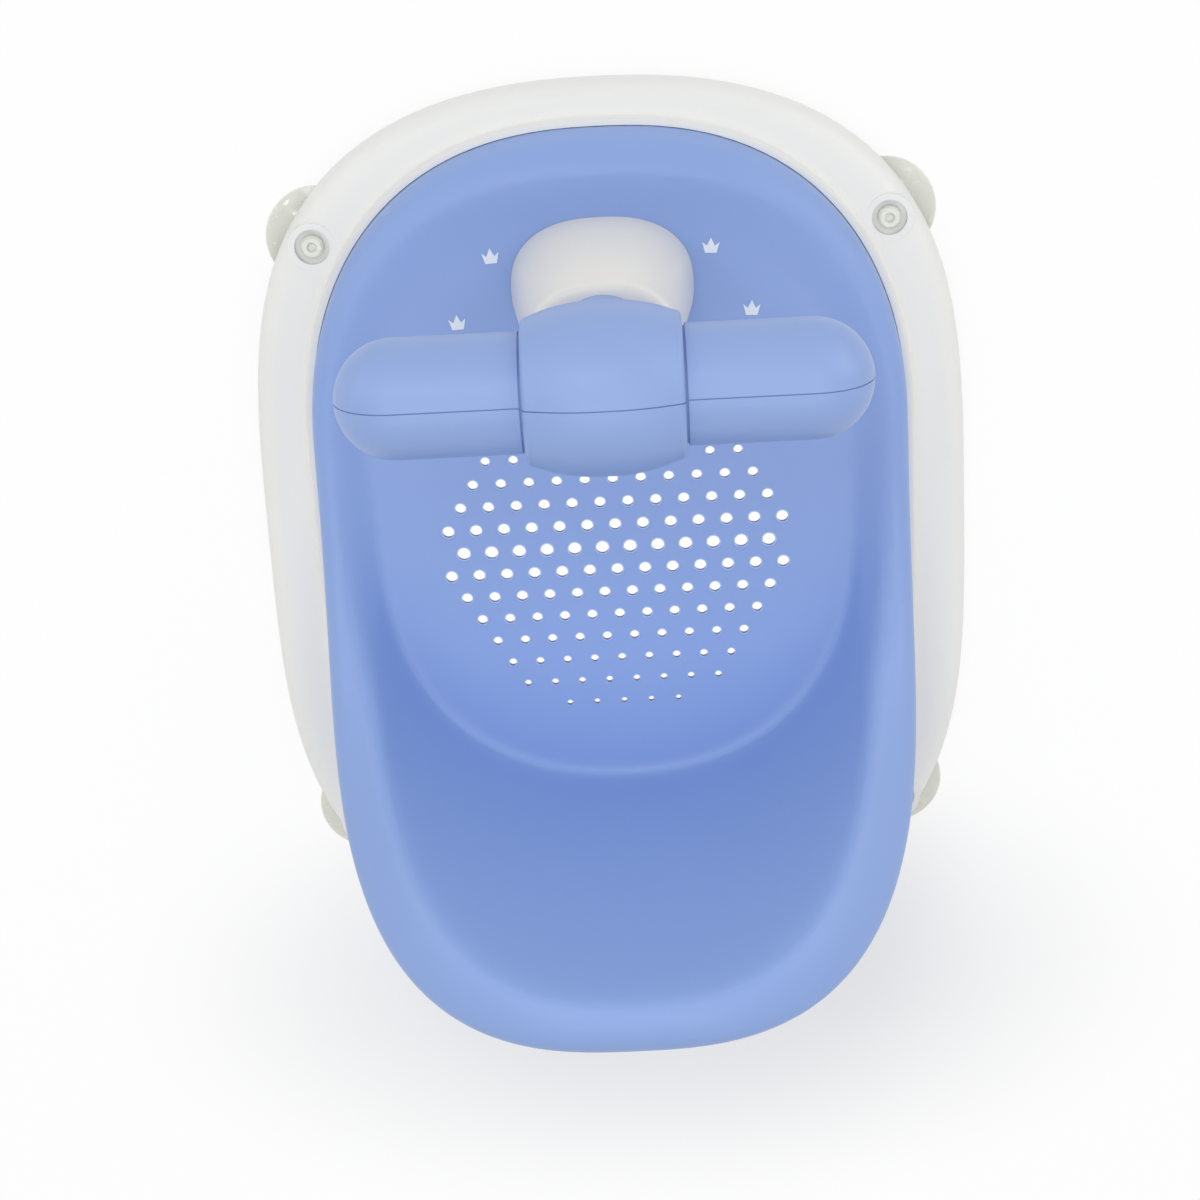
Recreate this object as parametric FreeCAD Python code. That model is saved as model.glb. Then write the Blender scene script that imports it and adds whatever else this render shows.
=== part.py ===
import FreeCAD, Part
import math
import os

# A baby bath seat: a blue bucket seat with a low front and a tall back, on a white base
# with four suction cups, and a blue T-bar that plugs into a white post between the legs.
# Millimetres. +Z is up, +Y points to the backrest, and the origin is on the tub's floor
# under the middle of the base.

V = FreeCAD.Vector

# Seat shell, measured at the outer edge of its rim
SEAT_HALF_WIDTH = 126.9
SEAT_FRONT = 179.0          # from the origin to the front edge
SEAT_WALL = 2.6
RING_CENTRE_Y = -48.0       # every ring of the seat and base is spaced by angle about here
RIM_FRONT_HEIGHT = 50.0
RIM_BACK_HEIGHT = 205.0
RIM_RISE_START = 120.0      # behind the front edge, where the rim starts to rise
RIM_RISE_POWER = 2.6
SKIRT_DRAFT = 2.0           # degrees
SEAT_FOOT_HEIGHT = 23.0

# Rim roll, from the outer edge to its crest, at the side and what front and back add
ROLL_SIDE = 9.5
ROLL_FRONT_EXTRA = 15.5
ROLL_BACK_EXTRA = 6.5
ROLL_DROP_SIDE = 11.0
ROLL_DROP_FRONT_EXTRA = 11.0
ROLL_DROP_BACK_EXTRA = 5.0

# Bucket: the inner edge of the rim and the crease where the walls meet the pan
RIM_WIDTH_SIDE = 19.0
RIM_WIDTH_FRONT = 31.0
RIM_WIDTH_BACK = 26.5
CREASE_INSET_SIDE = 20.0
CREASE_INSET_FRONT = 33.5
CREASE_INSET_BACK = 51.0
INNER_SHOULDER = 11.0
CREASE_RADIUS = 13.0
EASED_WALL = 42.0           # a wall lower than this slopes more gently the lower it is

# Pan, which slopes down towards the back, and its drain holes in a hexagonal lattice
PAN_HEIGHT = 42.0
PAN_SLOPE = 2.1             # degrees
HOLE_PITCH = 12.0
HOLES_PER_ROW = [12, 13, 12, 11, 10, 9, 8, 5]
HOLE_DIAMETERS = [6.1, 5.5, 5.1, 4.7, 4.25, 3.7, 3.2, 2.7]

# Base plate, a ring that is open under the pan
FLANGE_FRONT = 17.7
FLANGE_SIDE = 27.8
LEDGE_REAR = 36.3
BASE_WALL = 2.8
BASE_BOTTOM = 7.0
FLANGE_HEIGHT = 22.6
LIP_HEIGHT = 28.0
LIP_THICKNESS = 2.4
LIP_GAP = 0.15              # between the lip and the seat
DECK_WIDTH = 16.0
DECK_SKIRT_BOTTOM = 12.0
RIB_COUNT = 12
RIB_THICKNESS = 2.0

# Suction cups
CUP_INSET_X = 32.7
CUP_INSET_Y = 63.2
CUP_RADIUS = 22.0
CUP_LIP = 1.2               # flat ring that stands on the tub
CUP_EDGE = 1.2              # thickness at its edge
CUP_HEIGHT = 10.5
CUP_HOLLOW = 4.6
CUP_NECK_RADIUS = 6.5
STEM_RADIUS = 3.8
KNOB_RADIUS = 4.9
KNOB_HEIGHT = 3.4
KNOB_DIMPLE = 1.2
KNOB_RECESS_RADIUS = 7.5
KNOB_RECESS_DEPTH = 2.6
CUP_SEAT_WALL = 2.6

# Post between the legs
POST_CENTRE_FROM_FRONT = 63.0
POST_TOP_SHIFT = 5.5        # the top stands this much further back than the foot
POST_HALF_WIDTH = 38.0
POST_HALF_DEPTH = 29.3
POST_TOP_HALF_WIDTH = 29.5
POST_TOP_HALF_DEPTH = 22.9
POST_TOP_HEIGHT = 115.0
POST_POWER = 2.4
POST_EDGE = 5.0
POST_WALL = 2.8
SOCKET_DEPTH = 30.0
SOCKET_WALL = 2.4

# T-bar, two half shells that meet on the upright plane through the bar
BAR_HEIGHT = 186.0
BAR_HALF_LENGTH = 99.2
ROLL_RADIUS = 22.5
BARREL_HALF_LENGTH = 29.4
BARREL_RADIUS = 32.2
BARREL_END_RADIUS = 27.4
BARREL_EDGE = 2.5
SHADOW_GAP = 1.0
NECK_RADIUS = 18.1          # where it stands on the post
PLUG_RADIUS = 16.4          # inside the post
NECK_FLARE = 1.6
BAR_WALL = 2.6
BARB_STEP = 1.0
BARB_HEIGHT = 3.0
SEAM_WIDTH = 0.5            # of the groove along the joint, cut in the front half
SEAM_DEPTH = 0.6

# Screws and fits
SHANK_RADIUS = 1.9
SCREW_HEAD_RADIUS = 3.6
SCREW_HEAD_HEIGHT = 2.4
BOSS_RADIUS = 4.6
BOSS_BITE = 1.0             # of a boss into the wall beside it
BOSS_LIFT = 0.4             # of the seat's bosses above its foot
BOSS_CAP = 3.0              # of solid plastic above the thread of a screw
POST_BOSS_HEIGHT = 22.0
BAR_BOSS_RADIUS = 5.6
THREAD_DEPTH = 12.0
SCREW_POINT = 2.0
SCREW_SHORT = 1.0           # a screw ends this far from the bottom of its hole
PLAY = 0.1                  # round the thread of a screw
CLEARANCE = 0.3             # between parts that slide together
SEAT_SCREW_ANGLES = [-60.0, 0.0, 60.0]
BAR_SCREW_OFFSETS = [18.0, 68.0]
HEAD_DEPTH = 9.0            # of the T-bar's screw heads below its skin

# Worked out
SEAT_BACK = SEAT_FRONT + FLANGE_FRONT - LEDGE_REAR
BASE_HALF_WIDTH = SEAT_HALF_WIDTH + FLANGE_SIDE
BASE_HALF_LENGTH = SEAT_FRONT + FLANGE_FRONT
CUP_X = BASE_HALF_WIDTH - CUP_INSET_X
CUP_Y = BASE_HALF_LENGTH - CUP_INSET_Y
POST_Y = POST_CENTRE_FROM_FRONT - SEAT_FRONT
BAR_Y = POST_Y + POST_TOP_SHIFT
DECK_UNDERSIDE = SEAT_FOOT_HEIGHT - BASE_WALL

HALVINGS = 60               # of the range in which a radius is looked for
RING_POINTS = 48
RIM_POLE = 5                # the last of each section's poles that belongs to the rim's roll
PAN_POLES = 3               # of each section's poles that lie in the pan's plane
RING_ANGLES = [math.radians(-90.0 + 360.0 * i / RING_POINTS) for i in range(RING_POINTS)]


def mix(a, b, share):
    return a + (b - a) * share


def pan_z(y):
    """Height of the pan's upper face at y."""
    return PAN_HEIGHT - math.tan(math.radians(PAN_SLOPE)) * y


def rim_z(y):
    """Height of the rim's crest where its outer edge is at y."""
    rise = y + SEAT_FRONT - RIM_RISE_START
    share = max(rise, 0.0) / (SEAT_BACK + SEAT_FRONT - RIM_RISE_START)
    return mix(RIM_FRONT_HEIGHT, RIM_BACK_HEIGHT, share ** RIM_RISE_POWER)


class Outline:
    """A closed oval: superellipse halves in front of and behind centre_y."""

    def __init__(self, centre_y, half_width, front, back, front_powers, back_powers):
        self.centre_y = centre_y
        self.half_width = half_width
        self.front = front
        self.back = back
        self.front_powers = front_powers
        self.back_powers = back_powers

    def level(self, x, y):
        """Below 1 inside the oval, above 1 outside it."""
        dy = y - self.centre_y
        reach, powers = (self.back, self.back_powers) if dy > 0 else (self.front, self.front_powers)
        return (abs(x) / self.half_width) ** powers[0] + (abs(dy) / reach) ** powers[1]

    def radius(self, angle, from_y):
        """Distance from (0, from_y) to the oval along an angle."""
        low, high = 0.0, 3.0 * (self.half_width + self.front + self.back)
        for _ in range(HALVINGS):
            middle = 0.5 * (low + high)
            x, y = middle * math.cos(angle), from_y + middle * math.sin(angle)
            if self.level(x, y) < 1.0:
                low = middle
            else:
                high = middle
        return low


FRONT_REACH = SEAT_FRONT + RING_CENTRE_Y
BACK_REACH = SEAT_BACK - RING_CENTRE_Y
RIM_EDGE = Outline(RING_CENTRE_Y, SEAT_HALF_WIDTH, FRONT_REACH, BACK_REACH, (2.42, 2.22), (2.74, 5.55))
BUCKET_EDGE = Outline(RING_CENTRE_Y, SEAT_HALF_WIDTH - RIM_WIDTH_SIDE, FRONT_REACH - RIM_WIDTH_FRONT,
                      BACK_REACH - RIM_WIDTH_BACK, (2.3, 2.3), (2.44, 4.71))
CREASE = Outline(RING_CENTRE_Y, SEAT_HALF_WIDTH - CREASE_INSET_SIDE, FRONT_REACH - CREASE_INSET_FRONT,
                 BACK_REACH - CREASE_INSET_BACK, (2.3, 2.3), (2.2, 3.0))
BASE_EDGE = Outline(0.0, BASE_HALF_WIDTH, BASE_HALF_LENGTH, BASE_HALF_LENGTH, (2.35, 3.5), (2.35, 3.5))


def ring(points):
    """A smooth closed curve through points spaced evenly by angle."""
    curve = Part.BSplineCurve()
    steps = [i / len(points) for i in range(len(points) + 1)]
    curve.interpolate(Points=points, PeriodicFlag=True, Parameters=steps)
    return curve


def skin(rings, degree=3):
    """A surface that follows the rings as a B-spline follows its poles.

    It starts on the first ring and ends on the last one.
    """
    degree = min(degree, len(rings) - 1)
    spans = len(rings) - degree
    first = rings[0]
    mults = [degree + 1] + [1] * (spans - 1) + [degree + 1]
    knots = [i / spans for i in range(spans + 1)]
    surface = Part.BSplineSurface()
    surface.buildFromPolesMultsKnots(
        [r.getPoles() for r in rings], mults, first.getMultiplicities(), knots, first.getKnots(),
        False, True, degree, first.Degree)
    return surface.toShape()


def disc(curve):
    """The flat face inside a flat ring."""
    return Part.Face(Part.Wire(curve.toShape()))


def closed_solid(faces):
    """One solid from faces that meet at their edges."""
    shell = Part.makeShell(faces)
    shell.sewShape()
    solid = Part.makeSolid(Part.Shell(shell.Faces))
    if solid.Volume < 0:
        solid.reverse()
    return solid


def section_ring(sections, index):
    """The ring through point number index of the section at every angle."""
    points = []
    for angle, section in zip(RING_ANGLES, sections):
        r, z = section[index]
        points.append(V(r * math.cos(angle), RING_CENTRE_Y + r * math.sin(angle), z))
    return ring(points)


def offset_section(section, distance):
    """A section moved inwards by a wall, each point along the mean of its edges' normals."""
    moved = []
    for i, (r, z) in enumerate(section):
        normals = []
        for a, b in ((i - 1, i), (i, i + 1)):
            if a >= 0 and b < len(section):
                dr, dz = section[b][0] - section[a][0], section[b][1] - section[a][1]
                length = math.hypot(dr, dz)
                normals.append((-dz / length, dr / length))
        nr = sum(n[0] for n in normals) / len(normals)
        nz = sum(n[1] for n in normals) / len(normals)
        scale = distance / (nr * nr + nz * nz)
        moved.append((r + nr * scale, z + nz * scale))
    return moved


def foot_radius(angle):
    """Radius of the seat's outer wall where it stands on the base."""
    edge = RIM_EDGE.radius(angle, RING_CENTRE_Y)
    crest = rim_z(RING_CENTRE_Y + edge * math.sin(angle))
    drop = crest - roll_drop(angle) - SEAT_FOOT_HEIGHT
    return edge + drop * math.tan(math.radians(SKIRT_DRAFT))


def front_share(angle):
    return max(-math.sin(angle), 0.0) ** 2


def back_share(angle):
    return max(math.sin(angle), 0.0) ** 2


def roll_width(angle):
    return ROLL_SIDE + ROLL_FRONT_EXTRA * front_share(angle) + ROLL_BACK_EXTRA * back_share(angle)


def roll_drop(angle):
    return (ROLL_DROP_SIDE + ROLL_DROP_FRONT_EXTRA * front_share(angle)
            + ROLL_DROP_BACK_EXTRA * back_share(angle))


def seat_section(angle):
    """Poles of the seat's upper skin at one angle, from the foot over the rim to the pan."""
    edge = RIM_EDGE.radius(angle, RING_CENTRE_Y)
    crest = rim_z(RING_CENTRE_Y + edge * math.sin(angle))
    drop = roll_drop(angle)
    top = edge - roll_width(angle)
    inner = BUCKET_EDGE.radius(angle, RING_CENTRE_Y)
    crease = CREASE.radius(angle, RING_CENTRE_Y)
    floor = pan_z(RING_CENTRE_Y + crease * math.sin(angle))
    foot = foot_radius(angle)
    wall_r, wall_z = inner - crease, crest - floor
    wall = math.hypot(wall_r, wall_z)
    shoulder = min(INNER_SHOULDER, 0.3 * wall) / wall
    fillet = min(CREASE_RADIUS, 0.4 * wall) / wall
    section = [
        (foot, SEAT_FOOT_HEIGHT),
        (mix(foot, edge, 0.4), mix(SEAT_FOOT_HEIGHT, crest - drop, 0.4)),
        (mix(foot, edge, 0.8), mix(SEAT_FOOT_HEIGHT, crest - drop, 0.8)),
        (edge, crest - 0.85 * drop),
        (edge - 0.12 * roll_width(angle), crest - 0.3 * drop),
        (mix(edge, top, 0.55), crest),
        (mix(top, inner, 0.25), crest),
        (mix(top, inner, 0.8), mix(crest, floor, 0.02)),
        (inner - shoulder * wall_r, crest - shoulder * wall_z),
        (inner - 0.5 * wall_r, crest - 0.5 * wall_z),
        (crease + fillet * wall_r, floor + fillet * wall_z),
    ]
    for inset in (0.0, 0.5, 1.0, 1.5):
        r = crease - inset * CREASE_RADIUS
        section.append((r, pan_z(RING_CENTRE_Y + r * math.sin(angle))))
    ease = max(1.0 - (wall_z / EASED_WALL) ** 2, 0.0)
    return eased_section(section, ease)


def eased_section(section, ease):
    """A section whose wall is turned by a share, from 0 to 1, into a gentle slope."""
    first, last = RIM_POLE, len(section) - PAN_POLES
    (rim_r, rim_height), (pan_r, pan_height) = section[first], section[last]
    eased = list(section)
    for i in range(first + 1, last):
        share = (i - first) / (last - first)
        slope_r = mix(rim_r, pan_r, share)
        slope_z = mix(rim_height, pan_height, share * share * (3.0 - 2.0 * share))
        eased[i] = (mix(section[i][0], slope_r, ease), mix(section[i][1], slope_z, ease))
    return eased


def lower_section(section):
    """Poles of the seat's underside for one section of its upper skin."""
    lower = offset_section(section, SEAT_WALL)
    lower[0] = (section[0][0] - SEAT_WALL, SEAT_FOOT_HEIGHT)
    for i in range(-PAN_POLES, 0):
        lower[i] = (section[i][0], section[i][1] - SEAT_WALL)
    return lower


def drain_holes():
    """Cutters for the pan's drain holes, smaller towards the front and back of the lattice."""
    rows = []
    for n, (count, diameter) in enumerate(zip(HOLES_PER_ROW, HOLE_DIAMETERS)):
        for side in ([0] if n == 0 else [-1, 1]):
            y = side * n * HOLE_PITCH * math.sqrt(3.0) / 2.0
            for k in range(count):
                x = (k - (count - 1) / 2.0) * HOLE_PITCH
                low = pan_z(y) - 3.0 * SEAT_WALL
                rows.append(Part.makeCylinder(diameter / 2.0, 6.0 * SEAT_WALL, V(x, y, low)))
    return rows


def seat_screw_points():
    """Places of the screws that hold the seat to the base."""
    points = []
    for degrees in SEAT_SCREW_ANGLES:
        angle = math.radians(degrees)
        r = foot_radius(angle) - SEAT_WALL - BOSS_RADIUS + BOSS_BITE
        x, y = r * math.cos(angle), RING_CENTRE_Y + r * math.sin(angle)
        points += [(x, y), (-x, y)]
    return points


def bucket():
    """The seat's moulded wall, before its holes and bosses."""
    sections = [seat_section(angle) for angle in RING_ANGLES]
    lower = [lower_section(section) for section in sections]
    count = len(sections[0])
    upper_rings = [section_ring(sections, i) for i in range(count)]
    lower_rings = [section_ring(lower, i) for i in range(count)]
    return closed_solid([
        skin(upper_rings),
        skin(lower_rings),
        skin([upper_rings[0], lower_rings[0]], 1),
        disc(upper_rings[-1]),
        disc(lower_rings[-1]),
    ])


def seat_shell():
    """The bucket with its drain holes, screw bosses and the post's screw holes."""
    bosses, bores, holes = [], [], drain_holes()
    foot = SEAT_FOOT_HEIGHT + BOSS_LIFT
    for x, y in seat_screw_points():
        bosses.append(Part.makeCylinder(BOSS_RADIUS, THREAD_DEPTH + BOSS_CAP, V(x, y, foot)))
        bores.append(Part.makeCylinder(SHANK_RADIUS + PLAY, THREAD_DEPTH, V(x, y, foot)))
    for x, y in post_screw_points():
        low = pan_z(y) - 3.0 * SEAT_WALL
        holes.append(Part.makeCylinder(SHANK_RADIUS + PLAY, 6.0 * SEAT_WALL, V(x, y, low)))
    bossed = bucket().fuse(bosses).cut(Part.makeCompound(bores))
    return bossed.cut(Part.makeCompound(holes))


def base_radii(angle):
    """Radii of the base's outer edge, its lip's outer and inner faces, and its deck's edge."""
    edge = BASE_EDGE.radius(angle, RING_CENTRE_Y)
    lip_inner = foot_radius(angle) + LIP_GAP
    return edge, lip_inner + LIP_THICKNESS, lip_inner, lip_inner - DECK_WIDTH


def base_top_section(angle):
    """Poles of the base's outer skin at one angle, from its bottom edge to the lip."""
    edge, lip = base_radii(angle)[:2]
    return [
        (edge, BASE_BOTTOM),
        (edge - 0.4, mix(BASE_BOTTOM, FLANGE_HEIGHT, 0.3)),
        (edge - 1.6, mix(BASE_BOTTOM, FLANGE_HEIGHT, 0.7)),
        (mix(edge, lip, 0.32), FLANGE_HEIGHT - 1.2),
        (mix(edge, lip, 0.6), FLANGE_HEIGHT),
        (lip + 3.0, FLANGE_HEIGHT + 0.2),
        (lip + 0.8, FLANGE_HEIGHT + 0.6),
        (lip + 0.2, mix(FLANGE_HEIGHT, LIP_HEIGHT, 0.6)),
        (lip, LIP_HEIGHT),
    ]


def base_under_section(angle):
    """Poles of the base's inner skin at one angle, from its bottom edge to the deck's skirt."""
    radii = base_radii(angle)
    edge, skirt = radii[0], radii[3] + BASE_WALL
    return [
        (edge - BASE_WALL, BASE_BOTTOM),
        (edge - BASE_WALL - 0.4, mix(BASE_BOTTOM, DECK_UNDERSIDE, 0.5)),
        (edge - BASE_WALL - 1.6, mix(BASE_BOTTOM, DECK_UNDERSIDE, 0.85)),
        (mix(edge - BASE_WALL, skirt, 0.2), DECK_UNDERSIDE - 0.9),
        (mix(edge - BASE_WALL, skirt, 0.4), DECK_UNDERSIDE),
        (mix(edge - BASE_WALL, skirt, 0.7), DECK_UNDERSIDE),
        (skirt, DECK_UNDERSIDE),
    ]


def base_body():
    """The base's moulded ring, before its ribs, recesses and screw holes."""
    radii = [base_radii(angle) for angle in RING_ANGLES]
    upper = [base_top_section(angle) for angle in RING_ANGLES]
    under = [base_under_section(angle) for angle in RING_ANGLES]
    upper_rings = [section_ring(upper, i) for i in range(len(upper[0]))]
    under_rings = [section_ring(under, i) for i in range(len(under[0]))]

    def level_ring(column, inset, z):
        return section_ring([[(r[column] + inset, z)] for r in radii], 0)

    corners = [
        upper_rings[-1],
        level_ring(2, 0.0, LIP_HEIGHT),
        level_ring(2, 0.0, SEAT_FOOT_HEIGHT),
        level_ring(3, 0.0, SEAT_FOOT_HEIGHT),
        level_ring(3, 0.0, DECK_SKIRT_BOTTOM),
        level_ring(3, BASE_WALL, DECK_SKIRT_BOTTOM),
        under_rings[-1],
    ]
    faces = [skin(upper_rings), skin(under_rings), skin([under_rings[0], upper_rings[0]], 1)]
    for a, b in zip(corners, corners[1:]):
        faces.append(skin([a, b], 1))
    return closed_solid(faces)


def rib_space():
    """The space that the base's ribs fill, which ends halfway into its wall."""
    half = 0.5 * BASE_WALL
    sections = []
    for angle in RING_ANGLES:
        sections.append([(r + half, z + half) for r, z in base_under_section(angle)])
    rings = [section_ring(sections, i) for i in range(len(sections[0]))]
    return closed_solid([skin(rings), disc(rings[0]), disc(rings[-1])])


def base_ribs():
    """Upright ribs under the flange, from the deck's skirt out to the edge."""
    bars = []
    for i in range(RIB_COUNT):
        turn = (i + 0.5) * 360.0 / RIB_COUNT
        radii = base_radii(math.radians(turn))
        edge, deck = radii[0], radii[3]
        bar = Part.makeBox(edge - deck, RIB_THICKNESS, FLANGE_HEIGHT - DECK_SKIRT_BOTTOM,
                           V(deck + 0.5 * BASE_WALL, -0.5 * RIB_THICKNESS, DECK_SKIRT_BOTTOM))
        bar.rotate(V(0, 0, 0), V(0, 0, 1), turn)
        bar.translate(V(0, RING_CENTRE_Y, 0))
        bars.append(bar)
    return Part.makeCompound(bars).common(rib_space()).Solids


def cup_points():
    return [(front + "_" + side, sx * CUP_X, sy * CUP_Y)
            for front, sy in (("front", -1), ("rear", 1)) for side, sx in (("left", 1), ("right", -1))]


def recess_floor():
    return FLANGE_HEIGHT - KNOB_RECESS_DEPTH


def base_plate():
    """The base with ribs under its flange, cup seats and the seat's screw holes."""
    seats, cuts = [], []
    floor = recess_floor()
    for _, x, y in cup_points():
        seats.append(Part.makeCylinder(KNOB_RECESS_RADIUS + CUP_SEAT_WALL, BASE_WALL + KNOB_RECESS_DEPTH,
                                       V(x, y, floor - CUP_SEAT_WALL)))
        cuts.append(Part.makeCylinder(KNOB_RECESS_RADIUS, 2.0 * KNOB_RECESS_DEPTH, V(x, y, floor)))
        cuts.append(Part.makeCylinder(STEM_RADIUS + CLEARANCE, 4.0 * CUP_SEAT_WALL,
                                      V(x, y, floor - 2.0 * CUP_SEAT_WALL)))
    for x, y in seat_screw_points():
        cuts.append(Part.makeCylinder(SHANK_RADIUS + CLEARANCE, 3.0 * BASE_WALL,
                                      V(x, y, DECK_UNDERSIDE - BASE_WALL)))
    return base_body().fuse(base_ribs() + seats).cut(Part.makeCompound(cuts))


def revolved(profile, base, axis):
    """A solid turned from a closed profile in the plane of its axis."""
    return Part.Face(Part.makePolygon(profile + [profile[0]])).revolve(base, axis, 360.0)


def suction_cup(x, y):
    """A soft cup with a domed back, a neck, and a knob pushed through the base."""
    floor = recess_floor() + CLEARANCE
    seat = recess_floor() - CUP_SEAT_WALL - CLEARANCE
    top = floor + KNOB_HEIGHT
    lip = CUP_RADIUS - CUP_LIP
    dome = Part.BSplineCurve()
    dome.interpolate([
        V(CUP_RADIUS, 0, CUP_EDGE),
        V(0.72 * CUP_RADIUS, 0, mix(CUP_EDGE, CUP_HEIGHT, 0.19)),
        V(0.46 * CUP_RADIUS, 0, mix(CUP_EDGE, CUP_HEIGHT, 0.41)),
        V(CUP_NECK_RADIUS, 0, CUP_HEIGHT),
    ])
    hollow = Part.Arc(V(0, 0, CUP_HOLLOW), V(0.6 * lip, 0, 0.62 * CUP_HOLLOW), V(lip, 0, 0))
    stem = [
        V(CUP_NECK_RADIUS, 0, CUP_HEIGHT),
        V(CUP_NECK_RADIUS, 0, seat),
        V(STEM_RADIUS, 0, seat),
        V(STEM_RADIUS, 0, floor),
        V(KNOB_RADIUS, 0, floor),
        V(KNOB_RADIUS, 0, top - 0.3 * KNOB_HEIGHT),
        V(KNOB_RADIUS - 0.3 * KNOB_HEIGHT, 0, top),
        V(0.45 * KNOB_RADIUS, 0, top),
        V(0.3 * KNOB_RADIUS, 0, top - KNOB_DIMPLE),
        V(0, 0, top - KNOB_DIMPLE),
        V(0, 0, CUP_HOLLOW),
    ]
    foot = [V(lip, 0, 0), V(CUP_RADIUS, 0, 0), V(CUP_RADIUS, 0, CUP_EDGE)]
    edges = [hollow.toShape(), dome.toShape()]
    edges += Part.makePolygon(foot).Edges + Part.makePolygon(stem).Edges
    section = Part.Face(Part.Wire(Part.__sortEdges__(edges)))
    cup = section.revolve(V(0, 0, 0), V(0, 0, 1), 360.0)
    cup.translate(V(x, y, 0))
    return cup


def post_oval(shape_height, grow):
    """Half width, half depth and middle of the post at a share of its height."""
    return (mix(POST_HALF_WIDTH, POST_TOP_HALF_WIDTH, shape_height) + grow,
            mix(POST_HALF_DEPTH, POST_TOP_HALF_DEPTH, shape_height) + grow,
            mix(POST_Y, POST_Y + POST_TOP_SHIFT, shape_height))


def post_ring(share, grow, drop):
    """A ring round the post, level with the pan at share 0 and flat at share 1."""
    half_width, half_depth, middle = post_oval(share, grow)
    powers = (POST_POWER, POST_POWER)
    oval = Outline(middle, half_width, half_depth, half_depth, powers, powers)
    points = []
    for angle in RING_ANGLES[::2]:
        r = oval.radius(angle, middle)
        x, y = r * math.cos(angle), middle + r * math.sin(angle)
        points.append(V(x, y, mix(pan_z(y) + CLEARANCE, POST_TOP_HEIGHT - drop, share)))
    return ring(points)


def post_solid(grow, drop, edge):
    """A tapered oval block with a rounded top edge."""
    rings = [post_ring(share, grow, drop) for share in (0.0, 0.33, 0.66)]
    rings.append(post_ring(1.0, grow, drop + 1.1 * edge))
    rings.append(post_ring(1.0, grow - 0.05 * edge, drop + 0.35 * edge))
    rings.append(post_ring(1.0, grow - 0.45 * edge, drop))
    rings.append(post_ring(1.0, grow - 1.2 * edge, drop))
    return closed_solid([skin(rings), disc(rings[0]), disc(rings[-1])])


def post_screw_points():
    """Places of the screws that hold the post to the pan."""
    inset = POST_WALL + BOSS_RADIUS - BOSS_BITE
    reach_x, reach_y = POST_HALF_WIDTH - inset, POST_HALF_DEPTH - inset
    return [(reach_x, POST_Y), (-reach_x, POST_Y), (0.0, POST_Y - reach_y), (0.0, POST_Y + reach_y)]


def front_post():
    """The hollow post with the T-bar's socket inside, its foot just clear of the pan."""
    outer = post_solid(0.0, 0.0, POST_EDGE)
    inner = post_solid(-POST_WALL, POST_WALL, POST_EDGE - 1.0)
    socket_radius = PLUG_RADIUS + CLEARANCE
    low = POST_TOP_HEIGHT - SOCKET_DEPTH
    tube = Part.makeCylinder(socket_radius + SOCKET_WALL, SOCKET_DEPTH - 0.5 * POST_WALL, V(0, BAR_Y, low))
    bore = Part.makeCylinder(socket_radius, 2.0 * SOCKET_DEPTH, V(0, BAR_Y, low - 1.0))
    bosses, bores = [], [bore]
    for x, y in post_screw_points():
        foot = V(x, y, pan_z(y) - SEAT_WALL)
        bosses.append(Part.makeCylinder(BOSS_RADIUS, POST_BOSS_HEIGHT + SEAT_WALL, foot))
        bores.append(Part.makeCylinder(SHANK_RADIUS + PLAY, THREAD_DEPTH + SEAT_WALL, foot))
    inside = Part.makeCompound([tube] + bosses).common(outer)
    return outer.cut(inner).fuse(inside.Solids).cut(Part.makeCompound(bores))


def bar_profile(inset):
    """The upper half of the T-bar's outline along its axis, moved in by a wall."""
    roll, end = ROLL_RADIUS - inset, BAR_HALF_LENGTH - inset
    barrel, step = BARREL_HALF_LENGTH - inset, BARREL_END_RADIUS - inset
    edge, groove = BARREL_EDGE, roll - SHADOW_GAP
    turn = math.sqrt(0.5)

    def at(x, r):
        return V(x, BAR_Y, BAR_HEIGHT + r)

    right = [
        Part.Arc(at(0, BARREL_RADIUS - inset), at(0.5 * barrel, mix(step, BARREL_RADIUS - inset, 0.76)),
                 at(barrel - edge, step)).toShape(),
        Part.Arc(at(barrel - edge, step), at(barrel - edge * (1 - turn), step - edge * (1 - turn)),
                 at(barrel, step - edge)).toShape(),
        Part.makeLine(at(barrel, step - edge), at(barrel, groove)),
        Part.makeLine(at(barrel, groove), at(barrel + SHADOW_GAP, groove)),
        Part.makeLine(at(barrel + SHADOW_GAP, groove), at(barrel + SHADOW_GAP, roll)),
        Part.makeLine(at(barrel + SHADOW_GAP, roll), at(end - roll, roll)),
        Part.Arc(at(end - roll, roll), at(end - roll * (1 - turn), roll * turn), at(end, 0)).toShape(),
        Part.makeLine(at(end, 0), at(0, 0)),
        Part.makeLine(at(0, 0), at(0, BARREL_RADIUS - inset)),
    ]
    return Part.Face(Part.Wire(right))


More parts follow.
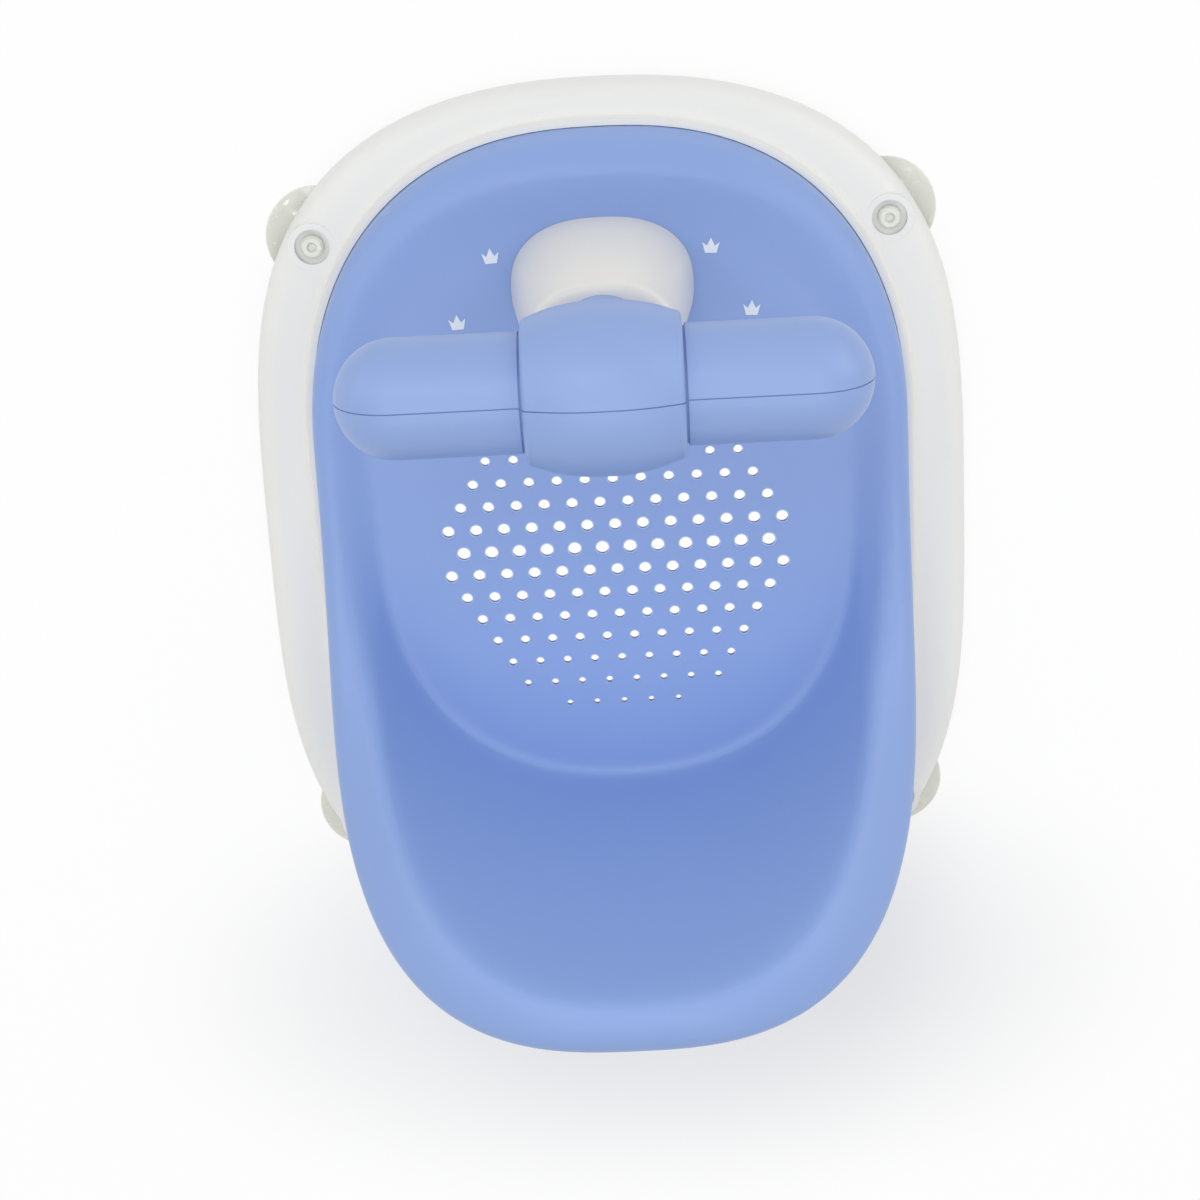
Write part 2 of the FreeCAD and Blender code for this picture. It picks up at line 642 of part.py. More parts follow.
def bar_neck(inset):
    """The neck that stands on the post and the plug inside it, moved in by a wall."""
    foot = POST_TOP_HEIGHT - SOCKET_DEPTH - CLEARANCE - BARB_HEIGHT
    top = BAR_HEIGHT - 0.5 * BARREL_END_RADIUS
    plug, neck = PLUG_RADIUS - inset, NECK_RADIUS - inset
    if inset > 0:
        profile = [V(plug, 0, foot), V(plug, 0, POST_TOP_HEIGHT + inset)]
    else:
        profile = [
            V(plug - 0.5, 0, foot),
            V(plug + BARB_STEP, 0, foot + 0.8 * BARB_HEIGHT),
            V(plug + BARB_STEP, 0, foot + BARB_HEIGHT),
            V(plug, 0, foot + BARB_HEIGHT),
            V(plug, 0, POST_TOP_HEIGHT),
        ]
    profile += [V(neck, 0, POST_TOP_HEIGHT + inset), V(neck + NECK_FLARE, 0, top)]
    solid = revolved([V(0, 0, foot)] + profile + [V(0, 0, top)], V(0, 0, 0), V(0, 0, 1))
    solid.translate(V(0, BAR_Y, 0))
    return solid


def bar_solid(inset):
    """The whole T-bar, moved in by a wall."""
    half = bar_profile(inset).revolve(V(0, BAR_Y, BAR_HEIGHT), V(1, 0, 0), 360.0)
    other = half.mirror(V(0, 0, 0), V(1, 0, 0))
    return half.fuse([other, bar_neck(inset)])


def bar_screw_points():
    return [(name, side * x) for name, x in zip(("inner", "outer"), BAR_SCREW_OFFSETS) for side in (1, -1)]


def bar_radius_at(x):
    """Radius of the T-bar at x along its axis, near enough for its bosses."""
    if abs(x) > BARREL_HALF_LENGTH:
        return ROLL_RADIUS
    return mix(BARREL_RADIUS, BARREL_END_RADIUS, (abs(x) / BARREL_HALF_LENGTH) ** 2)


def bar_halves():
    """The T-bar's front and rear half shells, with the bosses that its screws join."""
    outer = bar_solid(0.0)
    shell = outer.cut(bar_solid(BAR_WALL))
    columns, bores = [], []
    y_axis = V(0, 1, 0)

    def rod(radius, length, x, y):
        return Part.makeCylinder(radius, length, V(x, y, BAR_HEIGHT), y_axis)

    for _, x in bar_screw_points():
        reach = bar_radius_at(x)
        head = BAR_Y + reach - HEAD_DEPTH
        columns.append(rod(BAR_BOSS_RADIUS, 2.0 * reach, x, BAR_Y - reach))
        bores.append(rod(SHANK_RADIUS + PLAY, THREAD_DEPTH, x, BAR_Y - THREAD_DEPTH))
        bores.append(rod(SHANK_RADIUS + CLEARANCE, head - BAR_Y, x, BAR_Y))
        bores.append(rod(SCREW_HEAD_RADIUS + CLEARANCE, 2.0 * HEAD_DEPTH, x, head))
    inside = Part.makeCompound(columns).common(outer)
    size = 4.0 * BAR_HALF_LENGTH
    seam = Part.makeBox(size, SEAM_WIDTH, size, V(-0.5 * size, BAR_Y - SEAM_WIDTH, 0))
    bores.append(outer.cut(bar_solid(SEAM_DEPTH)).common(seam))
    whole = shell.fuse(inside.Solids).cut(Part.makeCompound(bores))
    front = Part.makeBox(size, size, size, V(-0.5 * size, BAR_Y - size, 0))
    return whole.common(front), whole.cut(front)


def screw(length, place, direction):
    """A pan head screw: place is under the head, direction is the way it is driven."""
    head = SCREW_HEAD_HEIGHT
    profile = [
        V(0, 0, length), V(0.3 * SHANK_RADIUS, 0, length), V(SHANK_RADIUS, 0, length - SCREW_POINT),
        V(SHANK_RADIUS, 0, 0), V(SCREW_HEAD_RADIUS, 0, 0), V(SCREW_HEAD_RADIUS, 0, -0.5 * head),
        V(0.7 * SCREW_HEAD_RADIUS, 0, -head), V(0, 0, -head),
    ]
    solid = revolved(profile, V(0, 0, 0), V(0, 0, 1))
    slot = 0.22 * SCREW_HEAD_RADIUS
    for turn in (0, 90):
        corner = V(-0.5 * SCREW_HEAD_RADIUS, -0.5 * slot, -head)
        arm = Part.makeBox(SCREW_HEAD_RADIUS, slot, 0.6 * head, corner)
        arm.rotate(V(0, 0, 0), V(0, 0, 1), turn)
        solid = solid.cut(arm)
    turn = FreeCAD.Rotation(V(0, 0, 1), direction)
    solid.Placement = FreeCAD.Placement(place, turn)
    return solid


def seat_screws():
    """Screws up through the base's deck into the seat's bosses."""
    names = [row + side for row in ("front_", "middle_", "rear_") for side in ("left", "right")]
    length = BASE_WALL + THREAD_DEPTH - SCREW_SHORT
    return [("seat_screw_" + name, screw(length, V(x, y, DECK_UNDERSIDE - PLAY), V(0, 0, 1)))
            for name, (x, y) in zip(names, seat_screw_points())]


def post_screws():
    """Screws up through the pan into the post's bosses, square to the pan's height."""
    names = ["left", "right", "front", "rear"]
    length = SEAT_WALL + THREAD_DEPTH - SCREW_SHORT
    slope = math.tan(math.radians(PAN_SLOPE)) * SCREW_HEAD_RADIUS
    return [("post_screw_" + name, screw(length, V(x, y, pan_z(y) - SEAT_WALL - slope), V(0, 0, 1)))
            for name, (x, y) in zip(names, post_screw_points())]


def bar_screws():
    """Screws from behind through the T-bar's rear half into its front half."""
    found = []
    for (name, x), side in zip(bar_screw_points(), ("left", "right") * 2):
        head = bar_radius_at(x) - HEAD_DEPTH
        solid = screw(head + THREAD_DEPTH - SCREW_SHORT, V(x, BAR_Y + head, BAR_HEIGHT), V(0, -1, 0))
        found.append(("bar_screw_" + name + "_" + side, solid))
    return found


def export(name, shape):
    print(name, shape.isValid(), len(shape.Solids), "solid", round(shape.Volume / 1000.0, 2), "cm3")
    shape.exportStep("parts/" + name + ".step")


def main():
    os.makedirs("parts", exist_ok=True)
    bar_front, bar_rear = bar_halves()
    export("base_plate", base_plate())
    export("seat_shell", seat_shell())
    export("front_post", front_post())
    export("t_bar_front_half", bar_front)
    export("t_bar_rear_half", bar_rear)
    for name, x, y in cup_points():
        export("suction_cup_" + name, suction_cup(x, y))
    for name, solid in seat_screws() + post_screws() + bar_screws():
        export(name, solid)


main()
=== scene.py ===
"""A baby bath seat: its finishes and small moulded details, in a plain pale studio."""

import logging
import math
from dataclasses import dataclass
from enum import Enum

import bmesh
import bpy
from mathutils import Matrix, Vector
from mathutils.bvhtree import BVHTree


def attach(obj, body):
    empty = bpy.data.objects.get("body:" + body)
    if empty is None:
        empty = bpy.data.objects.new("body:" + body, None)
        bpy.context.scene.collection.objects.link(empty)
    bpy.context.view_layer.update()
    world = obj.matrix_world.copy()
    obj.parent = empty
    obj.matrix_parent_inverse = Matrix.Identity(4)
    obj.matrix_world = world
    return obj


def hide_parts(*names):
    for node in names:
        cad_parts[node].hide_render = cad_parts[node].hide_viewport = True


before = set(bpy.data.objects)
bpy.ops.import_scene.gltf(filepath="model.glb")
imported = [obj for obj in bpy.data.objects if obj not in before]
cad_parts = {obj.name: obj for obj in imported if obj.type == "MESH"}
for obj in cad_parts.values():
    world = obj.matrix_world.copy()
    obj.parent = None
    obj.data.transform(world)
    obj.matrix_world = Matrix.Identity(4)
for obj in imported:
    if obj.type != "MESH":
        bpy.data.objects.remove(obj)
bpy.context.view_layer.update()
LOG = logging.getLogger("bath_seat")
MM = 0.001
BODY = "root"
# Corners nearer than this are one corner of a solid's mesh
MERGE_DISTANCE = 0.001 * MM
# How far large faces outweigh small ones in the shading: 50 treats them alike
LARGE_FACE_WEIGHT = 80
# Surfaces are looked for from this height, in metres, which is above the whole seat
LOOK_DOWN_FROM = 1.0


class Slot(Enum):
    """The record's material slots."""

    SHELL = "seat_blue"
    BASE = "base_white"
    CUP = "cup_clear"
    SCREW = "screw_steel"


def linear(hex_colour: str) -> tuple[float, float, float, float]:
    """Turns an sRGB hex colour to linear.

    Args:
        hex_colour: six hex digits, with or without a leading hash.

    Returns:
        Red, green, blue and an alpha of 1.
    """
    digits = hex_colour.lstrip("#")
    values = []
    for start in (0, 2, 4):
        share = int(digits[start:start + 2], 16) / 255.0
        values.append(share / 12.92 if share <= 0.04045 else ((share + 0.055) / 1.055) ** 2.4)
    return values[0], values[1], values[2], 1.0


def add_node(tree: bpy.types.NodeTree, kind: str, inputs: dict | None = None,
             **settings: object) -> bpy.types.Node:
    """Adds a node with its settings, values and links.

    Args:
        tree: the tree it goes in.
        kind: the node's type name.
        inputs: socket name or number to a value, or to the output it is linked from.
        settings: the node's own properties.

    Returns:
        The node.
    """
    node = tree.nodes.new(kind)
    for key, value in settings.items():
        setattr(node, key, value)
    for key, value in (inputs or {}).items():
        if isinstance(value, bpy.types.NodeSocket):
            tree.links.new(value, node.inputs[key])
        else:
            node.inputs[key].default_value = value
    return node


def empty_material(name: str) -> bpy.types.Material:
    """Makes a material with no nodes in its tree."""
    material = bpy.data.materials.new(name)
    material.use_nodes = True
    material.node_tree.nodes.clear()
    return material


@dataclass(frozen=True)
class MouldedPlastic:
    """Injection-moulded plastic with a fine spark-eroded grain and faint flow marks."""

    name: str
    colour: str
    flow_colour: str
    roughness: float
    roughness_spread: float
    grain_mm: float
    grain_depth_mm: float
    flow_mm: float = 60.0
    subsurface: float = 0.0
    subsurface_mm: float = 1.5
    ior: float = 1.49

    def build(self) -> bpy.types.Material:
        """Builds the material from the mould's grain and the melt's flow."""
        material = empty_material(self.name)
        tree = material.node_tree
        place = add_node(tree, "ShaderNodeTexCoord").outputs["Object"]
        grain = add_node(tree, "ShaderNodeTexNoise", {
            "Vector": place, "Scale": 1.0 / (self.grain_mm * MM), "Detail": 3.0, "Roughness": 0.6})
        flow = add_node(tree, "ShaderNodeTexNoise", {
            "Vector": place, "Scale": 1.0 / (self.flow_mm * MM), "Detail": 2.0, "Roughness": 0.5})
        # The mix node has sockets of one name for numbers and for colours, so they go by number
        colour = add_node(tree, "ShaderNodeMix", {
            0: flow.outputs["Fac"], 6: linear(self.colour), 7: linear(self.flow_colour)},
            data_type="RGBA")
        roughness = add_node(tree, "ShaderNodeMapRange", {
            "Value": grain.outputs["Fac"], "From Min": 0.3, "From Max": 0.7,
            "To Min": self.roughness - self.roughness_spread,
            "To Max": self.roughness + self.roughness_spread})
        bump = add_node(tree, "ShaderNodeBump", {
            "Height": grain.outputs["Fac"], "Strength": 1.0, "Distance": self.grain_depth_mm * MM})
        shader = add_node(tree, "ShaderNodeBsdfPrincipled", {
            "Base Color": colour.outputs[2], "Roughness": roughness.outputs["Result"],
            "Normal": bump.outputs["Normal"], "IOR": self.ior,
            "Subsurface Weight": self.subsurface,
            "Subsurface Radius": (1.0, 1.0, 1.0),
            "Subsurface Scale": self.subsurface_mm * MM})
        add_node(tree, "ShaderNodeOutputMaterial", {"Surface": shader.outputs["BSDF"]})
        return material


@dataclass(frozen=True)
class SoftVinyl:
    """Cloudy clear PVC, cast soft: light sinks in and shapes behind it don't show."""

    name: str
    colour: str
    roughness: float
    transmission: float
    subsurface: float
    haze_mm: float
    clearer_by: float = 0.05
    hazier_by: float = 0.08
    ripple_depth_mm: float = 0.005
    subsurface_mm: float = 4.0
    ior: float = 1.53
    coat: float = 0.8
    coat_roughness: float = 0.08

    def build(self) -> bpy.types.Material:
        """Builds the material with a haze that varies through the casting."""
        material = empty_material(self.name)
        tree = material.node_tree
        place = add_node(tree, "ShaderNodeTexCoord").outputs["Object"]
        haze = add_node(tree, "ShaderNodeTexNoise", {
            "Vector": place, "Scale": 1.0 / (self.haze_mm * MM), "Detail": 2.0})
        roughness = add_node(tree, "ShaderNodeMapRange", {
            "Value": haze.outputs["Fac"], "To Min": self.roughness - self.clearer_by,
            "To Max": self.roughness + self.hazier_by})
        bump = add_node(tree, "ShaderNodeBump", {
            "Height": haze.outputs["Fac"], "Strength": 1.0, "Distance": self.ripple_depth_mm * MM})
        shader = add_node(tree, "ShaderNodeBsdfPrincipled", {
            "Base Color": linear(self.colour), "Roughness": roughness.outputs["Result"],
            "Normal": bump.outputs["Normal"], "IOR": self.ior,
            "Transmission Weight": self.transmission,
            "Subsurface Weight": self.subsurface,
            "Subsurface Radius": (1.0, 1.0, 0.9),
            "Subsurface Scale": self.subsurface_mm * MM,
            "Coat Weight": self.coat, "Coat Roughness": self.coat_roughness})
        add_node(tree, "ShaderNodeOutputMaterial", {"Surface": shader.outputs["BSDF"]})
        return material


@dataclass(frozen=True)
class PlatedSteel:
    """Zinc-plated steel with a fine, dull unevenness in its plate."""

    name: str
    colour: str
    roughness: float
    plate_mm: float
    plate_depth_mm: float = 0.03

    def build(self) -> bpy.types.Material:
        """Builds the material with the plate's unevenness as a slight bump."""
        material = empty_material(self.name)
        tree = material.node_tree
        place = add_node(tree, "ShaderNodeTexCoord").outputs["Object"]
        plate = add_node(tree, "ShaderNodeTexNoise", {
            "Vector": place, "Scale": 1.0 / (self.plate_mm * MM), "Detail": 2.0})
        bump = add_node(tree, "ShaderNodeBump", {
            "Height": plate.outputs["Fac"], "Strength": 1.0, "Distance": self.plate_depth_mm * MM})
        shader = add_node(tree, "ShaderNodeBsdfPrincipled", {
            "Base Color": linear(self.colour), "Roughness": self.roughness, "Metallic": 1.0,
            "Normal": bump.outputs["Normal"]})
        add_node(tree, "ShaderNodeOutputMaterial", {"Surface": shader.outputs["BSDF"]})
        return material


# Polypropylene from a spark-eroded mould: satin, so its highlights are wide and soft.
# The real grain is near 0.1 mm and is drawn at 0.8 mm, so that it shows.
SHELL_FINISH = MouldedPlastic(
    name="satin_polypropylene_blue", colour="#87a2d8", flow_colour="#8aa5db", roughness=0.46,
    roughness_spread=0.03, grain_mm=0.8, grain_depth_mm=0.012, subsurface=0.12)
# The T-bar is the same plastic with a slightly smoother, paler skin, so it catches more light.
BAR_FINISH = MouldedPlastic(
    name="smooth_polypropylene_blue", colour="#8aa3d5", flow_colour="#8da6d8", roughness=0.4,
    roughness_spread=0.03, grain_mm=0.9, grain_depth_mm=0.01, subsurface=0.12)
# The lips of the drain holes get a paler blue than the shell: a painted highlight, so they read as
# fine light rings.
HOLE_HIGHLIGHT_FINISH = MouldedPlastic(
    name="painted_highlight_pale_blue", colour="#a9bfec", flow_colour="#b3c7f0",
    roughness=0.4, roughness_spread=0.03, grain_mm=0.5, grain_depth_mm=0.004, flow_mm=8.0,
    subsurface=0.12)
# White polypropylene from a fine-stoned mould: a soft sheen over a slightly milky body.
BASE_FINISH = MouldedPlastic(
    name="stoned_polypropylene_white", colour="#e9e9e6", flow_colour="#e6e6e3", roughness=0.42,
    roughness_spread=0.02, grain_mm=1.4, grain_depth_mm=0.006, subsurface=0.2)
# The post is the same white from a smoother mould, so its shoulder carries a clear highlight.
POST_FINISH = MouldedPlastic(
    name="smooth_polypropylene_white", colour="#e7e5e0", flow_colour="#e5e3de", roughness=0.3,
    roughness_spread=0.02, grain_mm=1.4, grain_depth_mm=0.005, subsurface=0.2)
# A pad-printed white ink: flat, chalky and opaque on the satin blue.
PRINT_FINISH = MouldedPlastic(
    name="pad_printed_ink_white", colour="#e3eaf4", flow_colour="#dde5f0", roughness=0.6,
    roughness_spread=0.05, grain_mm=0.4, grain_depth_mm=0.004, flow_mm=4.0)
# Soft cast PVC: a cloudy grey-white that light sinks into, under a wet-looking skin.
CUP_FINISH = SoftVinyl(
    name="cast_soft_vinyl_clear", colour="#dfe0d4", roughness=0.25, transmission=0.08,
    subsurface=0.5, haze_mm=9.0)
# Zinc plate gives the screws a cool, slightly dull shine.
SCREW_FINISH = PlatedSteel(name="zinc_plated_steel", colour="#b9b9b4", roughness=0.32, plate_mm=0.5)


def smooth_copy(node: str, name: str, crease_degrees: float) -> bpy.types.Object:
    """Makes one smooth-shaded mesh of a solid's loose triangles.

    Args:
        node: the solid's name.
        name: the new piece's name.
        crease_degrees: edges that turn more than this stay sharp.

    Returns:
        The new object, at the origin.
    """
    work = bmesh.new()
    work.from_mesh(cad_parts[node].data)
    bmesh.ops.remove_doubles(work, verts=work.verts, dist=MERGE_DISTANCE)
    bmesh.ops.dissolve_degenerate(work, edges=work.edges, dist=MERGE_DISTANCE)
    mesh = bpy.data.meshes.new(name)
    work.to_mesh(mesh)
    work.free()
    for layer in [a for a in mesh.attributes if a.name == "custom_normal"]:
        mesh.attributes.remove(layer)
    mesh.shade_smooth()
    mesh.set_sharp_from_angle(angle=math.radians(crease_degrees))
    piece = bpy.data.objects.new(name, mesh)
    bpy.context.scene.collection.objects.link(piece)
    return piece


def finish_piece(piece: bpy.types.Object, material: bpy.types.Material) -> None:
    """Dresses a piece, makes it ride on the seat and reports it.

    Args:
        piece: the piece, in place.
        material: its finish.
    """
    piece.data.materials.clear()
    piece.data.materials.append(material)
    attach(piece, BODY)
    LOG.info("%s: %d faces, %s", piece.name, len(piece.data.polygons), material.name)


def weigh_normals(piece: bpy.types.Object) -> None:
    """Makes large faces lead the shading, which evens out long thin triangles."""
    weigh = piece.modifiers.new("even_shading", "WEIGHTED_NORMAL")
    weigh.keep_sharp = True
    weigh.weight = LARGE_FACE_WEIGHT


def surface_below(surface: BVHTree, x: float, y: float) -> Vector | None:
    """Looks straight down for a surface.

    Args:
        surface: the surface.
        x: the place across, in metres.
        y: the place along, in metres.

    Returns:
        The highest point of the surface there, or None where there is only air.
    """
    return surface.ray_cast(Vector((x, y, LOOK_DOWN_FROM)), Vector((0.0, 0.0, -1.0)))[0]


@dataclass
class SeatShell:
    """The blue bucket with the raised lips of its drain holes and its printed crowns."""

    crease_degrees: float = 35.0
    pitch: float = 12.0 * MM
    holes_per_row: tuple[int, ...] = (12, 13, 12, 11, 10, 9, 8, 5)
    hole_diameters_mm: tuple[float, ...] = (6.1, 5.5, 5.1, 4.7, 4.25, 3.7, 3.2, 2.7)
    # A ray this many radii from a hole's middle meets the pan beside the hole
    beside_hole: float = 1.3
    lip_share: float = 0.1
    lip_sides: int = 28
    lip_wire_sides: int = 8
    crown_size: float = 7.2 * MM
    crown_lift: float = 0.12 * MM
    crown_places_mm: tuple[tuple[float, float, float], ...] = (
        (45.7, -131.2, 3.0), (-45.6, -131.0, -3.0), (-61.7, -103.6, -3.0), (61.4, -103.6, 3.0))
    crown_outline: tuple[tuple[float, float], ...] = (
        (-0.33, -0.45), (0.33, -0.45), (0.5, 0.19), (0.23, -0.04), (0.0, 0.45), (-0.23, -0.04),
        (-0.5, 0.19))

    def build(self) -> None:
        """Builds the shell and what is moulded and printed on it."""
        shell = smooth_copy("seat_shell", "bucket_seat_shell", self.crease_degrees)
        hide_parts("seat_shell")
        finish_piece(shell, SHELL_FINISH.build())
        surface = BVHTree.FromObject(shell, bpy.context.evaluated_depsgraph_get())
        weigh_normals(shell)
        # The paler blue of the lips is a painted highlight round each drain hole's edge.
        hole_highlight = HOLE_HIGHLIGHT_FINISH.build()
        finish_piece(self.hole_lips(surface, hole_highlight), hole_highlight)
        crowns = self.crowns(surface)
        finish_piece(crowns, PRINT_FINISH.build())

    def hole_points(self, surface: BVHTree) -> list[tuple[Vector, float]]:
        """Finds the middle of each drain hole on the pan.

        Args:
            surface: the shell's surface.

        Returns:
            Each hole's place and radius.
        """
        found = []
        step = self.pitch * math.sqrt(3.0) / 2.0
        for row, (count, diameter) in enumerate(zip(self.holes_per_row, self.hole_diameters_mm)):
            radius = 0.5 * diameter * MM
            for side in ((0,) if row == 0 else (-1, 1)):
                y = side * row * step
                for k in range(count):
                    x = (k - (count - 1) / 2.0) * self.pitch
                    hit = surface_below(surface, x + self.beside_hole * radius, y)
                    if hit is not None:
                        found.append((Vector((x, y, hit.z)), radius))
        return found

    def hole_lips(self, surface: BVHTree, material: bpy.types.Material) -> bpy.types.Object:
        """Repeats one small round lip over the drain holes.

        Args:
            surface: the shell's surface.
            material: the lips' finish, a paler blue that paints a highlight round each hole.

        Returns:
            All the lips as one mesh.
        """
        points = self.hole_points(surface)
        mesh = bpy.data.meshes.new("drain_hole_middles")
        mesh.from_pydata([p for p, r in points], [], [])
        radii = mesh.attributes.new("bore", "FLOAT", "POINT")
        radii.data.foreach_set("value", [r for p, r in points])
        carrier = bpy.data.objects.new("drain_hole_middles", mesh)
        bpy.context.scene.collection.objects.link(carrier)
        tree = bpy.data.node_groups.new("hole_lips", "GeometryNodeTree")
        tree.interface.new_socket("Geometry", in_out="INPUT", socket_type="NodeSocketGeometry")
        share = tree.interface.new_socket(
            "Lip Share", in_out="INPUT", socket_type="NodeSocketFloat")
        finish = tree.interface.new_socket(
            "Finish", in_out="INPUT", socket_type="NodeSocketMaterial")
        tree.interface.new_socket("Geometry", in_out="OUTPUT", socket_type="NodeSocketGeometry")
        given = add_node(tree, "NodeGroupInput")
        # The circle's radius is 1, and each hole's own radius then sets its size
        circle = add_node(tree, "GeometryNodeCurvePrimitiveCircle", {
            "Resolution": self.lip_sides, "Radius": 1.0})
        wire = add_node(tree, "GeometryNodeCurvePrimitiveCircle", {
            "Resolution": self.lip_wire_sides, "Radius": given.outputs["Lip Share"]})
        tube = add_node(tree, "GeometryNodeCurveToMesh", {
            "Curve": circle.outputs["Curve"], "Profile Curve": wire.outputs["Curve"]})
        bore = add_node(
            tree, "GeometryNodeInputNamedAttribute", {"Name": "bore"}, data_type="FLOAT")
        spread = add_node(tree, "GeometryNodeInstanceOnPoints", {
            "Points": given.outputs["Geometry"], "Instance": tube.outputs["Mesh"],
            "Scale": bore.outputs["Attribute"]})
        real = add_node(
            tree, "GeometryNodeRealizeInstances", {"Geometry": spread.outputs["Instances"]})
        smooth = add_node(
            tree, "GeometryNodeSetShadeSmooth", {"Geometry": real.outputs["Geometry"]})
        dressed = add_node(tree, "GeometryNodeSetMaterial", {
            "Geometry": smooth.outputs["Geometry"], "Material": given.outputs["Finish"]})
        add_node(tree, "NodeGroupOutput", {"Geometry": dressed.outputs["Geometry"]})
        modifier = carrier.modifiers.new("hole_lips", "NODES")
        modifier.node_group = tree
        modifier[share.identifier] = self.lip_share
        modifier[finish.identifier] = material
        return plain_mesh(carrier, "drain_hole_lips")

    def crowns(self, surface: BVHTree) -> bpy.types.Object:
        """Prints four plain crowns on the shell beside the post.

        Args:
            surface: the shell's surface.

        Returns:
            The crowns as one thin mesh.
        """
        work = bmesh.new()
        for x, y, lean in self.crown_places_mm:
            turn = Matrix.Rotation(math.pi + math.radians(lean), 3, "Z")
            top, low = [], []
            for u, v in self.crown_outline:
                flat = turn @ Vector((u, v, 0.0)) * self.crown_size + Vector((x * MM, y * MM, 0.0))
                hit = surface_below(surface, flat.x, flat.y)
                top.append(work.verts.new(hit + Vector((0.0, 0.0, self.crown_lift))))
                low.append(work.verts.new(hit - Vector((0.0, 0.0, self.crown_lift))))
            work.faces.new(top)
            work.faces.new(list(reversed(low)))
            for i in range(len(top)):
                j = (i + 1) % len(top)
                work.faces.new((low[i], low[j], top[j], top[i]))
        bmesh.ops.recalc_face_normals(work, faces=work.faces)
        bmesh.ops.triangulate(work, faces=[f for f in work.faces if len(f.verts) > 4])
        mesh = bpy.data.meshes.new("printed_crowns")
        work.to_mesh(mesh)
        work.free()
        piece = bpy.data.objects.new("printed_crowns", mesh)
        bpy.context.scene.collection.objects.link(piece)
        return piece


def plain_mesh(carrier: bpy.types.Object, name: str) -> bpy.types.Object:
    """Turns what a piece's nodes make into a plain mesh and drops the carrier.

    Args:
        carrier: the object with the nodes.
        name: the plain piece's name.

    Returns:
        The plain piece.
    """
    graph = bpy.context.evaluated_depsgraph_get()
    mesh = bpy.data.meshes.new_from_object(carrier.evaluated_get(graph))
    mesh.name = name
    carrier.modifiers.clear()
    bpy.data.objects.remove(carrier)
    piece = bpy.data.objects.new(name, mesh)
    bpy.context.scene.collection.objects.link(piece)
    return piece


@dataclass
class Base:
    """The white ring and its soft cups."""

    crease_degrees: float = 40.0
    cups: tuple[str, ...] = ("front_left", "front_right", "rear_left", "rear_right")

    def build(self) -> None:
        """Builds the ring, then each cup."""
        ring = smooth_copy("base_plate", "white_base_ring", self.crease_degrees)
        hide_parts("base_plate")
        finish_piece(ring, BASE_FINISH.build())
        weigh_normals(ring)
        vinyl = CUP_FINISH.build()
        for place in self.cups:
            node = "suction_cup_" + place
            cup = smooth_copy(node, "soft_cup_" + place, self.crease_degrees)
            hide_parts(node)
            finish_piece(cup, vinyl)


@dataclass
class Post:
    """The white post between the legs."""

    crease_degrees: float = 40.0

    def build(self) -> None:
        """Builds the post in its smoother white."""
        post = smooth_copy("front_post", "white_post", self.crease_degrees)
        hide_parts("front_post")
        finish_piece(post, POST_FINISH.build())
        weigh_normals(post)


@dataclass
class TBar:
    """The T-bar's two half shells, which meet on an upright seam."""

    crease_degrees: float = 35.0

    def build(self) -> None:
        """Builds both halves."""
        blue = BAR_FINISH.build()
        for half in ("front", "rear"):
            node = f"t_bar_{half}_half"
            piece = smooth_copy(node, f"t_bar_{half}_shell", self.crease_degrees)
            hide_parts(node)
            finish_piece(piece, blue)
            weigh_normals(piece)


@dataclass
class Screws:
    """The steel screws, in the solids' own shapes."""

    crease_degrees: float = 30.0

    def build(self) -> None:
        """Dresses each screw."""
        steel = SCREW_FINISH.build()
        for node in sorted(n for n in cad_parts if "screw" in n):
            piece = smooth_copy(node, "steel_" + node, self.crease_degrees)
            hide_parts(node)
            finish_piece(piece, steel)


@dataclass(frozen=True)
class SoftLamp:
    """A square lamp that faces the object, with its place and side in metres."""

    name: str
    place: tuple[float, float, float]
    side: float
    watts: float

    def hang(self) -> None:
        """Hangs the lamp in its place."""
        data = bpy.data.lights.new(self.name, "AREA")
        data.shape, data.size, data.energy = "SQUARE", self.side, self.watts
        lamp = bpy.data.objects.new(self.name, data)
        bpy.context.scene.collection.objects.link(lamp)
        lamp.location = self.place
        lamp.rotation_euler = (-Vector(self.place)).to_track_quat("-Z", "Y").to_euler()


